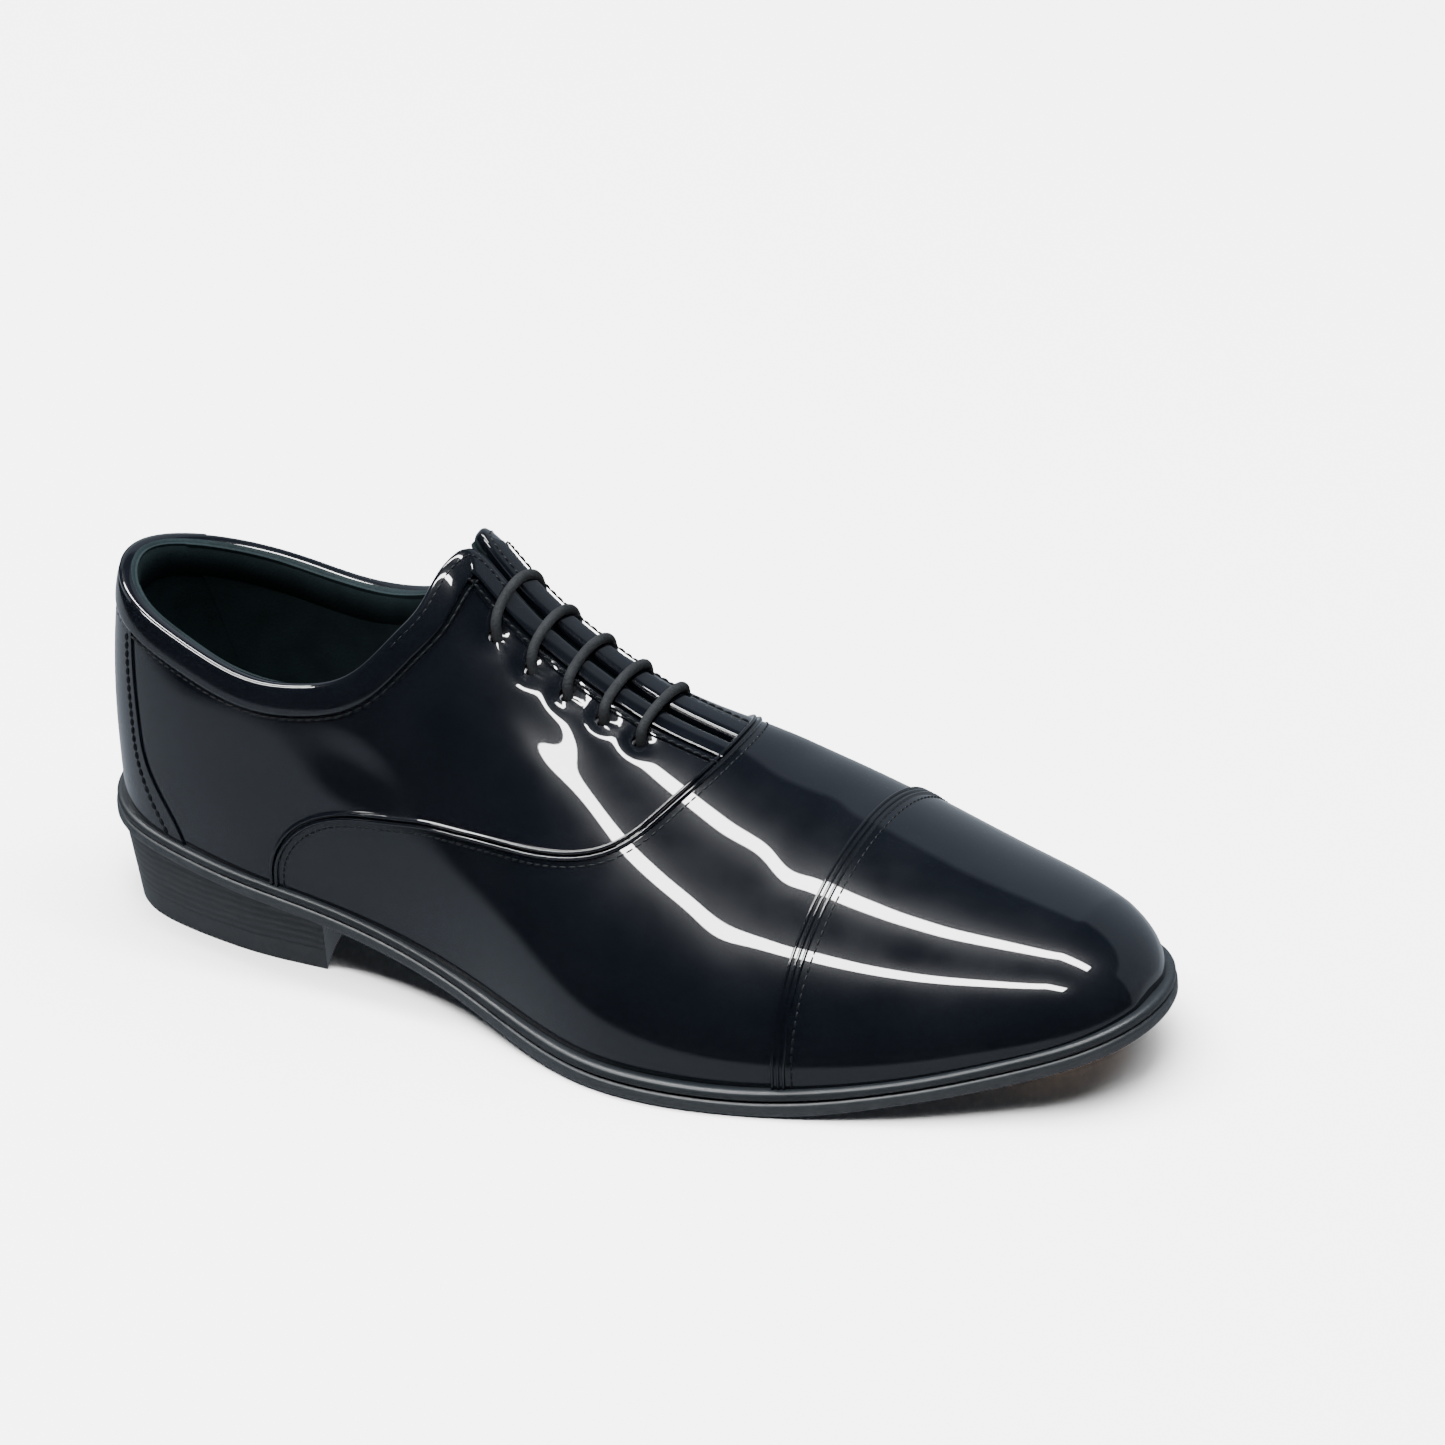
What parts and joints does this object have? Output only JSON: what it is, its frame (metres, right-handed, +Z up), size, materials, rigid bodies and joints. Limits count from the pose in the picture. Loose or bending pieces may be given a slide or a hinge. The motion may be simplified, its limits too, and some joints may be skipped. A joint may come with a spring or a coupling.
{
  "type": "tap shoe",
  "caption": "Laced patent dress shoe with a toe cap for the right foot, upright, with a flexing forepart and a hinged tongue.",
  "frame": {"origin": "middle of the sole's length and width, on the floor under the shoe", "axes": "+X from heel to toe, +Y towards the inner side of a right foot, +Z up"},
  "size_m": [0.3, 0.1153, 0.1127],
  "materials": {
    "patent_leather": "high-gloss patent coating",
    "lining_cloth": "matt twill, dark blue-green",
    "fibre_board": "bonded fibre board",
    "foam": "open foam",
    "sole_rubber": "satin, ribbed tread",
    "welt_rubber": "satin",
    "cork": "ground cork",
    "stacked_heel": "satin, grained like stacked layers",
    "heel_rubber": "satin, part ribbed",
    "steel": "plain",
    "lace_cotton": "waxed round cotton braid",
    "lace_tip": "clear film over braid"
  },
  "bodies": {
    "shoe": {"quarter_outer": "patent_leather", "quarter_inner": "patent_leather", "back_strip": "patent_leather", "collar_band": "patent_leather", "vamp_rear": "patent_leather", "vamp_crease": "patent_leather", "vamp_binding": "patent_leather", "quarter_lining_outer": "lining_cloth", "quarter_lining_inner": "lining_cloth", "heel_lining": "lining_cloth", "vamp_lining_rear": "lining_cloth", "vamp_lining_crease": "lining_cloth", "sock_liner_rear": "lining_cloth", "facing_stay_outer": "fibre_board", "facing_stay_inner": "fibre_board", "heel_counter": "fibre_board", "insole_board_rear": "fibre_board", "collar_foam": "foam", "outsole_rear": "sole_rubber", "welt_rear": "welt_rubber", "cork_filler_rear": "cork", "heel_block": "stacked_heel", "heel_top_piece": "heel_rubber", "shank": "steel", "heel_nails": "steel", "blind_eyelets_outer": "steel", "blind_eyelets_inner": "steel", "lace": "lace_cotton", "lace_tips": "lace_tip"},
    "toe": {"outsole_fore": "sole_rubber", "welt_fore": "welt_rubber", "insole_board_fore": "fibre_board", "cork_filler_fore": "cork", "sock_liner_fore": "lining_cloth", "vamp_fore": "patent_leather", "toe_cap": "patent_leather", "toe_puff": "fibre_board", "vamp_lining_fore": "lining_cloth", "cap_binding": "patent_leather"},
    "tongue_flap": {"tongue": "patent_leather", "tongue_lining": "lining_cloth"}
  },
  "joints": [
    {"name": "toe_flex", "type": "hinge", "parent": "shoe", "child": "toe", "pos_m": [0.052, 0.008, 0.0085], "axis": [-0.1483, -0.9889, 0], "range_deg": [0, 25], "stiffness_Nm_per_rad": 1.2, "deforming": ["vamp_crease", "vamp_lining_crease"]},
    {"name": "tongue_press", "type": "hinge", "parent": "shoe", "child": "tongue_flap", "pos_m": [0.024, 0.012, 0.056], "axis": [0, -1, 0], "range_deg": [0, 6], "stiffness_Nm_per_rad": 0.05}
  ]
}
